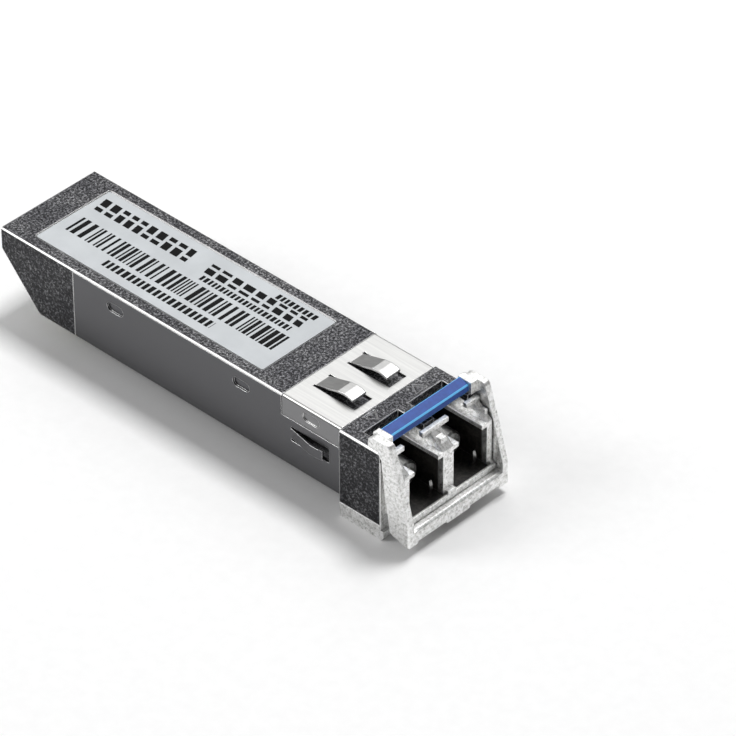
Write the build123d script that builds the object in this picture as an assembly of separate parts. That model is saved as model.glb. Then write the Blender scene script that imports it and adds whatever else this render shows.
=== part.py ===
"""Pluggable duplex fibre-optic transceiver with a bail latch.

Lengths are in millimetres.  Every piece is drawn in the module's own working axes: X runs from the
card-edge end (0) to the fibre ports, Y is zero on the centre plane, and Z is zero on the underside of
the sheet cover.  Each piece is then placed in the part's frame, whose origin is the bottom centre of
the whole module, with +X towards the fibre ports.
"""
from build123d import *
from math import cos, pi, radians, sin
import os

# ---------------------------------------------------------------- body that slides into the cage
BODY_LENGTH = 47.5
BODY_WIDTH = 13.4
BODY_HEIGHT = 8.5
SHEET = 0.25
COVER_BEND = 0.4
ROOF = 0.9
SIDE_WALL = 0.85
SKIRT = 0.7
TAIL_BOTTOM = 0.2
TAIL_LENGTH = 10.4
TAIL_SLOPE_LENGTH = 5.2
TAIL_MOUTH_TOP = 5.95
REAR_WALL = 1.2
EDGE_ROUND = 0.3
SHELL_LIP = 0.2
SEAM = 0.02
WALL_GAP = 0.05

# ---------------------------------------------------------------- nose that stays outside the cage
NOSE_LENGTH = 5.4
NOSE_STEP = 0.25
NOSE_SKIRT_DROP = 0.4
NOSE_DROP = 2.15
NOSE_WALL = 0.7
NOSE_ROUND = 0.35
FRONT_STRIP = 0.1
STRIP_RISE = 0.9
CHIN_TOE = 0.35
CHIN_TOE_HEIGHT = 1.1
CHIN_ROUND = 0.5
POCKET_SETBACK = 1.95

# ---------------------------------------------------------------- duplex receptacle
PORT_PITCH = 6.25
PORT_WIDTH = 4.8
PORT_HEIGHT = 4.65
PORT_FLOOR = 1.35
FLOOR_LIP = 0.25
LINER = 0.3
LINER_REACH = 6.8
RECEPTACLE_REACH = 8.5
STEM_SETBACK = 0.5
PORT_DEPTH_IN_BODY = 0.5
LEDGE_HEIGHT = 0.5
LEDGE_OVERHANG = 0.72
LEDGE_LENGTH = 5.3
TOP_FLANGE_HEIGHT = 0.5
TOP_FLANGE_OVERHANG = 1.1
TOP_FLANGE_LENGTH = 0.5
TOP_FLANGE_SETBACK = 2.2
DIVIDER_FOOT = 0.4
RAMP_RUN = 1.8
CHIN_HEIGHT = 0.72
OPTICAL_AXIS_ABOVE_FLOOR = 2.4
WALL_DROP = 0.5
REAR_WALL_OF_PORTS = 1.5
TONGUE_LENGTH = 6.0

# ---------------------------------------------------------------- bail
BAIL_GAP = 0.15
BAIL_ARM = 0.8
BAIL_LOWER_BAR = 1.1
BAIL_LOWER_BAR_HEIGHT = 1.4
BAIL_REACH = 9.4
BAIL_TAB_DROP = 0.25
BAIL_TAB_WIDTH = 1.4
BAIL_RISE = 1.8
PIVOT_REACH = 7.65
PIVOT_HEIGHT = 1.0
PIVOT_RADIUS = 0.5
PIVOT_CLEARANCE = 0.05
PIVOT_SKIN = 0.25
PIVOT_BOSS = 0.2
BAIL_HEAD_SETBACK = 1.45
BAIL_HEAD_LENGTH = 2.9
BAIL_HEAD_LIFT = 0.3
BAIL_TAB_LENGTH = 0.7
BAIL_EDGE = 0.12
BAIL_OPEN_ANGLE = 90.0
SLEEVE_LENGTH = 11.1
SLEEVE_WALL = 0.3
SLEEVE_LIFT = 0.5
SLEEVE_DROP = 0.1
SLEEVE_SLOPE = 0.28

# ---------------------------------------------------------------- latch
LATCH_SHOULDER = 2.5
LATCH_BOSS_LENGTH = 2.6
LATCH_BOSS_WIDTH = 2.6
LATCH_BOSS_HEIGHT = 0.45
SLIDER_WIDTH = 6.0
SLIDER_STROKE = 1.95
SLIDER_CLEARANCE = 0.1
CAM_START = 0.1
CAM_CLEARANCE = 0.03
CAM_WIDTH = 3.3
TINE_WIDTH = 1.5
TINE_HEIGHT = 0.5
TINE_LIFT = 0.04
SLIDER_LIFT = 1.25
KEEL_REACH = 1.1
SPRING_POCKET = 2.0
SPRING_RADIUS = 0.34
SPRING_WIRE = 0.13
SPRING_TURNS = 5
SPRING_HEIGHT = -0.15

# ---------------------------------------------------------------- sheet parts
COLLAR_LENGTH = 7.9
COLLAR_FLANGE = 2.4
FINGER_PITCH = 4.85
FINGER_SLOT_WIDTH = 2.45
FINGER_WIDTH = 1.9
FINGER_SLOT_LENGTH = 5.65
FINGER_SETBACK = 1.0
FINGER_RISE = 0.95
FINGER_TIP_GAP = 0.4
FINGER_ROOT = 0.15
SIDE_FINGER_HEIGHT = 4.25
SIDE_FINGER_SLOT = 1.75
SIDE_FINGER_WIDTH = 1.15
SIDE_FINGER_LENGTH = 5.1
SIDE_FINGER_BULGE = 0.6
SIDE_FINGER_SETBACK = 1.6
SIDE_FINGER_TIP_GAP = 0.35
COLLAR_DIMPLE_PLACE = 3.9
COLLAR_DIMPLE_RISE = 1.3
COLLAR_DIMPLE_DEPTH = 0.15
DIMPLE_LENGTH = 2.3
DIMPLE_WIDTH = 1.1
DIMPLE_DEPTH = 0.22
DIMPLE_HEIGHT = 6.65
DIMPLE_PLACES = (16.4, 34.0)

# ---------------------------------------------------------------- label and arrows
LABEL_LENGTH = 31.9
LABEL_WIDTH = 10.4
LABEL_START = 3.6
LABEL_THICK = 0.1
LABEL_RECESS = 0.15
LABEL_BORDER = 0.12
LABEL_CORNER = 0.2
ARROW_DEPTH = 0.15
ARROW_LENGTH = 1.2
ARROW_HALF_WIDTH = 0.8
ARROW_OFFSET = 3.1
ARROW_SETBACK = 0.35

# ---------------------------------------------------------------- board and what stands on it
BOARD_THICK = 1.0
BOARD_BOTTOM = 2.25
BOARD_START = 3.2
BOARD_END = 36.6
BOARD_EDGE_WIDTH = 9.2
BOARD_EDGE_LENGTH = 7.4
BOARD_GAP = 0.2
CONTACT_COUNT = 10
CONTACT_PITCH = 0.8
CONTACT_WIDTH = 0.5
CONTACT_LENGTH = 3.2
CONTACT_THICK = 0.04
POST_PLACE = 14.6
POST_RADIUS = 1.1
SCREW_RADIUS = 0.5
SCREW_HEAD_RADIUS = 0.95
SCREW_HEAD_HEIGHT = 0.5
SCREW_LENGTH = 2.6
SCREW_RECESS_LENGTH = 0.9
SCREW_RECESS_WIDTH = 0.18
SCREW_RECESS_DEPTH = 0.25
HEAT_PAD = 0.6
HEAT_PAD_SIZE = 2.8
PEDESTAL_SIZE = 3.6
LEDGE_SETBACK = 3.0
BOARD_LEDGE = 3.0
BOARD_LEDGE_WIDTH = 0.7
POST_ROOT = 0.2
SCREW_HOLE_SPARE = 0.3
DRIVER_SETBACK = 4.6
DRIVER_OFFSET = 2.6
MICROCONTROLLER_PLACE = 17.0
INDUCTOR_PLACE = 12.4
INDUCTOR_SIZE = 2.0
INDUCTOR_HEIGHT = 1.1
INDUCTOR_OFFSET = 1.7
CAPACITOR_LENGTH = 1.0
CAPACITOR_WIDTH = 0.6
CAPACITOR_HEIGHT = 0.5
FRONT_BANK = 21.4
FRONT_BANK_STEP = (1.3, 1.5)
REAR_BANK = 9.4
REAR_BANK_STEP = 1.4
CHIPS = {
    "laser_driver": (3.0, 3.0, 0.8),
    "post_amplifier": (3.0, 3.0, 0.8),
    "microcontroller": (4.0, 4.0, 0.85),
}

# ---------------------------------------------------------------- optical sub-assemblies
FERRULE_BORE = 0.635
ENTRY_RADIUS = 0.8
STUB_RADIUS = 0.8
STUB_LENGTH = 2.0
SPLIT_SLEEVE_RADIUS = 0.95
HOLDER_RADIUS = 1.45
HOLDER_REACH = 5.0
HOLDER_FLANGE_RADIUS = 2.15
HOLDER_FLANGE = 1.0
HOLDER_NECK_RADIUS = 1.7
HOLDER_NECK = 1.4
HOLDER_REAR_FLANGE = 0.8
HOLDER_LIP = 0.4
BORE_GAP = 0.03
CAN_RADIUS = 2.05
CAN_LENGTH = 2.6
HEADER_RADIUS = 2.4
HEADER_LENGTH = 1.1
PIN_RADIUS = 0.2
PIN_CIRCLE = 1.1
PIN_LENGTH = 1.5
PIN_COUNT = 4
FLEX_THICK = 0.15
FLEX_WIDTH = 3.6
FLEX_TAIL_WIDTH = 2.4
FLEX_RISE = 1.9
FLEX_STANDOFF = 0.3
FLEX_BEND = 0.45
FLEX_CORNER = 0.06
FLEX_FOOT = 2.4
FLEX_PAD_LIFT = 0.6
CLAMP_LENGTH = 0.9

# ---------------------------------------------------------------- places that follow from the sizes
HALF_BODY = BODY_WIDTH / 2
HALF_CORE = HALF_BODY - SHEET
HALF_CAVITY = HALF_CORE - SIDE_WALL
HALF_NOSE = HALF_BODY + NOSE_STEP
NOSE_FRONT = BODY_LENGTH + NOSE_LENGTH
STRIP_FRONT = NOSE_FRONT + FRONT_STRIP
CAVITY_TOP = BODY_HEIGHT - ROOF
HALF_FRAME = HALF_NOSE - NOSE_WALL - WALL_GAP
PORT_FRONT = BODY_LENGTH + RECEPTACLE_REACH
STEM_FRONT = PORT_FRONT - STEM_SETBACK
PORT_REAR = BODY_LENGTH + PORT_DEPTH_IN_BODY
PORT_CENTRE = PORT_PITCH / 2
PORT_INNER = PORT_CENTRE - PORT_WIDTH / 2
PORT_OUTER = PORT_CENTRE + PORT_WIDTH / 2
PORT_TOP = PORT_FLOOR + PORT_HEIGHT
LEDGE_TOP = PORT_TOP + LEDGE_HEIGHT
WALL_TOP = BODY_HEIGHT - WALL_DROP
LINER_FRONT = PORT_REAR + LINER_REACH
AXIS_HEIGHT = PORT_FLOOR + OPTICAL_AXIS_ABOVE_FLOOR
OVERALL_LENGTH = BODY_LENGTH + BAIL_REACH
BAIL_TOP = BODY_HEIGHT + BAIL_RISE
PIVOT_X = BODY_LENGTH + PIVOT_REACH
ARM_INNER = HALF_FRAME + BAIL_GAP
ARM_OUTER = ARM_INNER + BAIL_ARM
BAR_REAR = OVERALL_LENGTH - BAIL_LOWER_BAR
BAR_TOP = CHIN_HEIGHT - SLIDER_CLEARANCE
BAR_BOTTOM = BAR_TOP - BAIL_LOWER_BAR_HEIGHT
TAB_BOTTOM = BAR_BOTTOM - BAIL_TAB_DROP
CAM_RATE = SLIDER_STROKE / radians(BAIL_OPEN_ANGLE)
SLIDER_FRONT = PIVOT_X - CAM_START - CAM_CLEARANCE
SLIDER_TOP = CHIN_HEIGHT - 2 * SLIDER_CLEARANCE
SLIDER_BOTTOM = -NOSE_DROP + SLIDER_LIFT
SHOULDER_X = BODY_LENGTH - LATCH_SHOULDER
KEEL_FRONT = BODY_LENGTH + KEEL_REACH
BLOCK_REAR = KEEL_FRONT + SLIDER_STROKE + SLIDER_CLEARANCE
TONGUE_BOTTOM = TINE_LIFT + TINE_HEIGHT + SLIDER_CLEARANCE
TONGUE_TOP = PORT_FLOOR - LINER
TONGUE_REAR = BODY_LENGTH - TONGUE_LENGTH
BOARD_TOP = BOARD_BOTTOM + BOARD_THICK
COLLAR_START = BODY_LENGTH - COLLAR_LENGTH
COLLAR_FLANGE_BOTTOM = BODY_HEIGHT - COLLAR_FLANGE
FINGER_START = BODY_LENGTH - FINGER_SETBACK - FINGER_SLOT_LENGTH
FLANGE_FRONT = PORT_REAR - REAR_WALL_OF_PORTS
HALF_LENGTH = OVERALL_LENGTH / 2
SIDES = (-1, 1)


# ---------------------------------------------------------------- helpers
def block(x, y, z):
    """A box between the two limits given on each axis."""
    size = Box(x[1] - x[0], y[1] - y[0], z[1] - z[0])
    return Pos((x[0] + x[1]) / 2, (y[0] + y[1]) / 2, (z[0] + z[1]) / 2) * size


def side_cut(points, y):
    """An outline of (x, z) points carried across between two y limits."""
    outline = Polyline(*[(px, y[0], pz) for px, pz in points], close=True)
    return extrude(make_face(outline), amount=y[1] - y[0], dir=(0, 1, 0))


def plan_cut(points, z):
    """An outline of (x, y) points carried up between two z limits."""
    outline = Polyline(*[(px, py, z[0]) for px, py in points], close=True)
    return extrude(make_face(outline), amount=z[1] - z[0], dir=(0, 0, 1))


def rod(x, y, z, radius):
    """A round bar along X."""
    bar = Cylinder(radius, x[1] - x[0])
    return Pos((x[0] + x[1]) / 2, y, z) * Rot(0, 90, 0) * bar


def cross_rod(x, y, z, radius):
    """A round bar along Y."""
    bar = Cylinder(radius, y[1] - y[0])
    return Pos(x, (y[0] + y[1]) / 2, z) * Rot(90, 0, 0) * bar


def post(x, y, z, radius):
    """A round bar along Z."""
    return Pos(x, y, (z[0] + z[1]) / 2) * Cylinder(radius, z[1] - z[0])


def mirrored(piece):
    """The piece and its mirror image across the centre plane."""
    return [piece, mirror(piece, about=Plane.XZ)]


def centred(middle, width):
    """The limits of something that lies evenly about a place."""
    return (middle - width / 2, middle + width / 2)


def span(side, inner, outer):
    """The y limits of something between two distances from the centre plane, on one side."""
    return (inner, outer) if side > 0 else (-outer, -inner)


def joined(pieces):
    """One solid made of pieces that touch or overlap."""
    whole = pieces[0]
    for piece in pieces[1:]:
        whole = whole + piece
    return whole


def long_box(x, half_width, z, rounding):
    """A box about the centre plane with its four long upper and upright edges rounded."""
    box = block(x, (-half_width, half_width), z)
    top = box.edges().filter_by(Axis.X).group_by(Axis.Z)[-1]
    return fillet(top, rounding)


# ---------------------------------------------------------------- shell
def dimple(x, z, side, depth):
    """A pressed capsule standing in from a side face, as long along X as the sheet's dimples."""
    radius = DIMPLE_WIDTH / 2
    reach = DIMPLE_LENGTH / 2 - radius
    y = span(side, HALF_BODY - depth, HALF_BODY + 0.2)
    middle = block((x - reach, x + reach), y, (z - radius, z + radius))
    return joined([middle, cross_rod(x - reach, y, z, radius), cross_rod(x + reach, y, z, radius)])


def arrow(tip, tail, y):
    """A triangular recess in the nose roof, pointing from tail to tip."""
    corners = [(tip, y), (tail, y - ARROW_HALF_WIDTH), (tail, y + ARROW_HALF_WIDTH)]
    return plan_cut(corners, (BODY_HEIGHT - ARROW_DEPTH, BODY_HEIGHT + 1))


def shell_body():
    """Outer block of the part that enters the cage, hollow and open below."""
    body = long_box((0, BODY_LENGTH), HALF_BODY, (TAIL_BOTTOM, BODY_HEIGHT), EDGE_ROUND)
    slope = [(-1, TAIL_BOTTOM - 1), (-1, TAIL_MOUTH_TOP), (0, TAIL_MOUTH_TOP)]
    slope += [(TAIL_SLOPE_LENGTH, TAIL_BOTTOM), (TAIL_SLOPE_LENGTH, TAIL_BOTTOM - 1)]
    body -= side_cut(slope, (-BODY_WIDTH, BODY_WIDTH))
    half_mouth = HALF_BODY - SKIRT
    body -= block((-1, TAIL_LENGTH), (-half_mouth, half_mouth), (-1, TAIL_MOUTH_TOP))
    body -= block((REAR_WALL, BODY_LENGTH + 1), (-HALF_CAVITY, HALF_CAVITY), (-1, CAVITY_TOP))
    above_bend = COVER_BEND + SEAM
    body -= block((TAIL_LENGTH, BODY_LENGTH + 1), (-BODY_WIDTH, BODY_WIDTH), (-1, above_bend))
    return body


def sheet_recesses():
    """Steps in the shell that the cover, the collar and their dimples sit in."""
    cuts = []
    for side in SIDES:
        flank = span(side, HALF_CORE, HALF_BODY + 1)
        cuts.append(block((TAIL_LENGTH, BODY_LENGTH + 1), flank, (-1, BODY_HEIGHT - SHELL_LIP)))
        cuts.append(block((COLLAR_START, BODY_LENGTH + 1), flank, (-1, BODY_HEIGHT + 1)))
        for x in DIMPLE_PLACES:
            cuts.append(dimple(x, DIMPLE_HEIGHT, side, SHEET + DIMPLE_DEPTH + WALL_GAP))
    roof_step = (BODY_HEIGHT - SHEET, BODY_HEIGHT + 1)
    cuts.append(block((COLLAR_START, BODY_LENGTH + 1), (-BODY_WIDTH, BODY_WIDTH), roof_step))
    return cuts


def shell_nose():
    """Nose of the shell: roof with two latch pockets, side walls, no floor."""
    nose = block((BODY_LENGTH, NOSE_FRONT), (-HALF_NOSE, HALF_NOSE), (-NOSE_SKIRT_DROP, BODY_HEIGHT))
    nose = fillet(nose.edges().filter_by(Axis.X).group_by(Axis.Z)[-1], NOSE_ROUND)
    half_inside = HALF_NOSE - NOSE_WALL
    nose -= block((BODY_LENGTH - 1, NOSE_FRONT + 1), (-half_inside, half_inside), (-1, CAVITY_TOP))
    for side in SIDES:
        pocket = span(side, PORT_INNER, PORT_OUTER)
        nose -= block((BODY_LENGTH + POCKET_SETBACK, NOSE_FRONT + 1), pocket, (0, BODY_HEIGHT + 1))
    arrow_rear = BODY_LENGTH + ARROW_SETBACK
    nose -= arrow(arrow_rear + ARROW_LENGTH, arrow_rear, -ARROW_OFFSET)
    nose -= arrow(arrow_rear, arrow_rear + ARROW_LENGTH, ARROW_OFFSET)
    return nose


def board_posts():
    """Round posts and end ledges inside the shell that the board is screwed up against."""
    posts = []
    for side in SIDES:
        y = side * (HALF_CAVITY - POST_RADIUS - BOARD_GAP)
        posts.append(post(POST_PLACE, y, (BOARD_TOP, CAVITY_TOP + POST_ROOT), POST_RADIUS))
        ledge_x = (BOARD_END - LEDGE_SETBACK - BOARD_LEDGE, BOARD_END - LEDGE_SETBACK)
        ledge_y = span(side, HALF_CAVITY - BOARD_LEDGE_WIDTH, HALF_CAVITY + POST_ROOT)
        posts.append(block(ledge_x, ledge_y, (BOARD_TOP, CAVITY_TOP + POST_ROOT)))
    return posts


def make_top_shell():
    """Die-cast shell: one piece from the tail to the nose."""
    shell = shell_body()
    for cut in sheet_recesses():
        shell -= cut
    shell += shell_nose()
    for support in board_posts():
        shell += support
    for side in SIDES:
        y = side * (HALF_CAVITY - POST_RADIUS - BOARD_GAP)
        hole = (BOARD_TOP - 1, BOARD_TOP + SCREW_LENGTH - BOARD_THICK + SCREW_HOLE_SPARE)
        shell -= post(POST_PLACE, y, hole, SCREW_RADIUS)
    pad_x, pad_y = chip_place("laser_driver")
    pedestal_z = (BOARD_TOP + CHIPS["laser_driver"][2] + HEAT_PAD, CAVITY_TOP + POST_ROOT)
    shell += block(centred(pad_x, PEDESTAL_SIZE), centred(pad_y, PEDESTAL_SIZE), pedestal_z)
    label_x = (LABEL_START - LABEL_BORDER, LABEL_START + LABEL_LENGTH + LABEL_BORDER)
    label_y = LABEL_WIDTH / 2 + LABEL_BORDER
    recess = block(label_x, (-label_y, label_y), (BODY_HEIGHT - LABEL_RECESS, BODY_HEIGHT + 1))
    shell -= fillet(recess.edges().filter_by(Axis.Z), LABEL_CORNER + LABEL_BORDER)
    return shell


def make_label():
    """Printed sheet in the roof's recess."""
    x = (LABEL_START, LABEL_START + LABEL_LENGTH)
    bottom = BODY_HEIGHT - LABEL_RECESS
    sheet = block(x, (-LABEL_WIDTH / 2, LABEL_WIDTH / 2), (bottom, bottom + LABEL_THICK))
    return fillet(sheet.edges().filter_by(Axis.Z), LABEL_CORNER)


# ---------------------------------------------------------------- sheet cover and collar
def bent_strip(points, thick, width, flip):
    """A strip of sheet, drawn as (along, out) points of its inner face."""
    outer = [(a, o + thick) for a, o in reversed(points)]
    outline = Polyline(*[(a, 0, o) for a, o in points + outer], close=True)
    strip = extrude(make_face(outline), amount=width / 2, dir=(0, 1, 0), both=True)
    return flip * strip


def finger_line(length, rise):
    """The bowed run of a ground finger, from its root to its free tip."""
    shares = [(0.0, 0.0), (0.06, 0.0), (0.33, 0.42), (0.62, 0.9), (0.78, 1.0), (0.9, 0.92), (1.0, 0.74)]
    return [(length * along, rise * out) for along, out in shares]


def u_channel(x, half_width, z, bend, sheet):
    """Sheet folded up both sides: a floor and two walls with rounded lower corners."""
    outer = block(x, (-half_width, half_width), (z[0], z[1] + 5))
    outer = fillet(outer.edges().filter_by(Axis.X).group_by(Axis.Z)[0], bend)
    half_inner = half_width - sheet
    inner = block((x[0] - 1, x[1] + 1), (-half_inner, half_inner), (z[0] + sheet, z[1] + 6))
    inner = fillet(inner.edges().filter_by(Axis.X).group_by(Axis.Z)[0], bend - sheet)
    cap = block((x[0] - 1, x[1] + 1), (-half_width - 1, half_width + 1), (z[1], z[1] + 8))
    return outer - inner - cap


def make_bottom_cover():
    """Folded cover: floor, two sides, snap dimples, latch window and one bowed spring each side."""
    x = (TAIL_LENGTH + SEAM, BODY_LENGTH - SEAM)
    cover = u_channel(x, HALF_BODY, (0, BODY_HEIGHT - SHELL_LIP - SEAM), COVER_BEND, SHEET)
    collar_zone = (COLLAR_START - 0.1, BODY_LENGTH + 1)
    under_collar = (COLLAR_FLANGE_BOTTOM - 0.1, BODY_HEIGHT + 1)
    cover -= block(collar_zone, (-BODY_WIDTH, BODY_WIDTH), under_collar)
    half_window = SLIDER_WIDTH / 2 + 2 * SLIDER_CLEARANCE
    window_rear = SHOULDER_X - LATCH_BOSS_LENGTH - 0.5
    cover -= block((window_rear, BODY_LENGTH + 1), (-half_window, half_window), (-1, 2 * SHEET))
    slot_end = BODY_LENGTH - SIDE_FINGER_SETBACK
    slot_start = slot_end - SIDE_FINGER_LENGTH
    low = SIDE_FINGER_HEIGHT - SIDE_FINGER_SLOT / 2
    high = SIDE_FINGER_HEIGHT + SIDE_FINGER_SLOT / 2
    line = finger_line(SIDE_FINGER_LENGTH - SIDE_FINGER_TIP_GAP, SIDE_FINGER_BULGE)
    for side in SIDES:
        cover -= block((slot_start, slot_end), span(side, HALF_CORE - 1, HALF_BODY + 1), (low, high))
        place = Pos(slot_start - FINGER_ROOT, side * HALF_CORE, SIDE_FINGER_HEIGHT)
        turn = place * Rot(-90 * side, 0, 0)
        cover += bent_strip(line, SHEET, SIDE_FINGER_WIDTH, turn)
        for dimple_x in DIMPLE_PLACES:
            bump = dimple(dimple_x, DIMPLE_HEIGHT, side, SHEET + DIMPLE_DEPTH)
            cover += bump & block((0, BODY_LENGTH), (-HALF_BODY, HALF_BODY), (0, BODY_HEIGHT))
            cover -= dimple(dimple_x, DIMPLE_HEIGHT, side, DIMPLE_DEPTH)
    return cover


def make_ground_collar():
    """Bright folded collar with two bowed fingers on top and a dimple on each flange."""
    x = (COLLAR_START + SEAM, BODY_LENGTH - SEAM)
    outer = block(x, (-HALF_BODY, HALF_BODY), (COLLAR_FLANGE_BOTTOM, BODY_HEIGHT))
    outer = fillet(outer.edges().filter_by(Axis.X).group_by(Axis.Z)[-1], COVER_BEND)
    inner = block((x[0] - 1, x[1] + 1), (-HALF_CORE, HALF_CORE), (-1, BODY_HEIGHT - SHEET))
    collar = outer - inner
    line = finger_line(FINGER_SLOT_LENGTH - FINGER_TIP_GAP, FINGER_RISE)
    for side in SIDES:
        y = side * FINGER_PITCH / 2
        slot_y = (y - FINGER_SLOT_WIDTH / 2, y + FINGER_SLOT_WIDTH / 2)
        slot_x = (FINGER_START, FINGER_START + FINGER_SLOT_LENGTH)
        collar -= block(slot_x, slot_y, (BODY_HEIGHT - 1, BODY_HEIGHT + 1))
        place = Pos(FINGER_START - FINGER_ROOT, y, BODY_HEIGHT - SHEET)
        collar += bent_strip(line, SHEET, FINGER_WIDTH, place)
        dimple_z = COLLAR_FLANGE_BOTTOM + COLLAR_DIMPLE_RISE
        collar -= dimple(COLLAR_START + COLLAR_DIMPLE_PLACE, dimple_z, side, COLLAR_DIMPLE_DEPTH)
    return collar


# ---------------------------------------------------------------- receptacle
def cam_room():
    """Notch under the ports for the heel of the bail's cam when the bail is open."""
    half = CAM_WIDTH / 2 + SLIDER_CLEARANCE
    heel = (PIVOT_X - 2.0, PIVOT_X - 0.95)
    return block(heel, (-half, half), (CHIN_HEIGHT - 0.1, PIVOT_HEIGHT + CAM_START + 0.05))


def receptacle_walls():
    """Two outer walls and the divider, each with its ledges, ramp and T-shaped top flange."""
    pieces = []
    ramp = [(STEM_FRONT, LEDGE_TOP), (STEM_FRONT - RAMP_RUN, WALL_TOP)]
    wall_foot = TONGUE_TOP - WALL_GAP
    wall_rear = NOSE_FRONT + WALL_GAP
    front = [(LINER_FRONT, wall_foot), (STEM_FRONT, wall_foot)] + ramp
    front += [(wall_rear, WALL_TOP), (wall_rear, LEDGE_TOP), (LINER_FRONT, LEDGE_TOP)]
    flange_front = STEM_FRONT - TOP_FLANGE_SETBACK + TOP_FLANGE_LENGTH
    top_x = (flange_front - TOP_FLANGE_LENGTH, flange_front)
    top_z = (WALL_TOP - SEAM, WALL_TOP + TOP_FLANGE_HEIGHT)
    ledge_x = (STEM_FRONT - LEDGE_LENGTH, STEM_FRONT)
    ledge_z = (PORT_TOP, LEDGE_TOP)
    web_z = (TONGUE_TOP - WALL_GAP, CAVITY_TOP - WALL_GAP)
    pieces.append(side_cut(front, (-PORT_INNER, PORT_INNER)))
    foot_z = (CHIN_HEIGHT + 0.1, PORT_FLOOR + DIVIDER_FOOT)
    half_foot = PORT_INNER - 0.2
    pieces.append(block((STEM_FRONT - 0.1, PORT_FRONT), (-half_foot, half_foot), foot_z))
    thin_inner = PORT_INNER - LINER - SEAM
    pieces.append(block((PORT_REAR, LINER_FRONT + 0.1), (-thin_inner, thin_inner), web_z))
    reach = PORT_INNER + LEDGE_OVERHANG
    pieces.append(block(ledge_x, (-reach, reach), ledge_z))
    reach = PORT_INNER + TOP_FLANGE_OVERHANG
    pieces.append(block(top_x, (-reach, reach), top_z))
    for side in SIDES:
        pieces.append(side_cut(front, span(side, PORT_OUTER, HALF_FRAME)))
        wall = span(side, PORT_OUTER + LINER + SEAM, HALF_FRAME)
        pieces.append(block((PORT_REAR, LINER_FRONT + 0.1), wall, web_z))
        pieces.append(block(ledge_x, span(side, PORT_OUTER - LEDGE_OVERHANG, HALF_FRAME), ledge_z))
        flange = span(side, PORT_OUTER - TOP_FLANGE_OVERHANG, HALF_FRAME)
        pieces.append(block(top_x, flange, top_z))
    return pieces


def make_receptacle_frame():
    """Bright casting: chin, front strips, port walls, pivots and the latch boss under the body."""
    toe_top = -NOSE_DROP + CHIN_TOE_HEIGHT
    chin = [(BODY_LENGTH, -NOSE_SKIRT_DROP - SEAM), (BODY_LENGTH, -NOSE_DROP)]
    chin += [(STRIP_FRONT + CHIN_TOE, -NOSE_DROP), (STRIP_FRONT + CHIN_TOE, toe_top)]
    chin += [(STRIP_FRONT, toe_top), (STRIP_FRONT, -NOSE_SKIRT_DROP - SEAM)]
    chin = side_cut(chin, (-HALF_NOSE, HALF_NOSE))
    chin = fillet(chin.edges().filter_by(Axis.Y).group_by(Axis.Z)[0].sort_by(Axis.X)[-1], CHIN_ROUND)
    core_z = (-NOSE_SKIRT_DROP - 0.1, PORT_FLOOR - LINER)
    core = block((BODY_LENGTH + SEAM, STRIP_FRONT), (-HALF_FRAME, HALF_FRAME), core_z)
    frame_y = (-HALF_FRAME, HALF_FRAME)
    shelf = block((BODY_LENGTH, PORT_FRONT), frame_y, (CHIN_HEIGHT, PORT_FLOOR - LINER))
    lip = block((PORT_FRONT - FLOOR_LIP, PORT_FRONT), frame_y, (CHIN_HEIGHT, PORT_FLOOR))
    frame = joined([chin, core, shelf, lip] + receptacle_walls())
    strip_z = (-NOSE_DROP + 0.8, LEDGE_TOP + STRIP_RISE)
    for side in SIDES:
        strip_y = span(side, HALF_FRAME - 0.1, HALF_NOSE)
        frame += block((NOSE_FRONT + SEAM, STRIP_FRONT), strip_y, strip_z)
        wall_inner = PORT_OUTER + LINER + SEAM
        wall = span(side, wall_inner, HALF_FRAME)
        frame += cross_rod(PIVOT_X, wall, PIVOT_HEIGHT, PIVOT_RADIUS + PIVOT_BOSS)
        boss_end = ARM_OUTER - PIVOT_SKIN - PIVOT_CLEARANCE
        frame += cross_rod(PIVOT_X, span(side, wall_inner, boss_end), PIVOT_HEIGHT, PIVOT_RADIUS)
    tongue_z = (TONGUE_BOTTOM, TONGUE_TOP)
    half_tongue = HALF_CAVITY - WALL_GAP
    frame += block((TONGUE_REAR, BODY_LENGTH + 0.5), (-half_tongue, half_tongue), tongue_z)
    half_channel = SLIDER_WIDTH / 2 + SLIDER_CLEARANCE
    channel_z = (SLIDER_BOTTOM - SLIDER_CLEARANCE, SLIDER_TOP + SLIDER_CLEARANCE)
    channel_y = (-half_channel, half_channel)
    frame -= block((BODY_LENGTH - 1, STRIP_FRONT + 1), channel_y, channel_z)
    frame -= block((BODY_LENGTH - 1, BLOCK_REAR + 0.5), channel_y, (-0.2, TONGUE_BOTTOM))
    frame -= cam_room()
    half_boss = LATCH_BOSS_WIDTH / 2
    ramp_rear = SHOULDER_X - LATCH_BOSS_LENGTH
    boss = [(ramp_rear, TONGUE_BOTTOM + 0.1), (ramp_rear, 0.0), (SHOULDER_X - 1.0, -LATCH_BOSS_HEIGHT)]
    boss += [(SHOULDER_X, -LATCH_BOSS_HEIGHT), (SHOULDER_X, SEAM), (KEEL_FRONT, SEAM)]
    boss += [(KEEL_FRONT, TONGUE_BOTTOM + 0.1)]
    frame += side_cut(boss, (-half_boss, half_boss))
    seat = block((BODY_LENGTH + 0.3, KEEL_FRONT), (-half_boss, half_boss), (SLIDER_BOTTOM - 0.2, 0.1))
    return frame + seat


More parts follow.
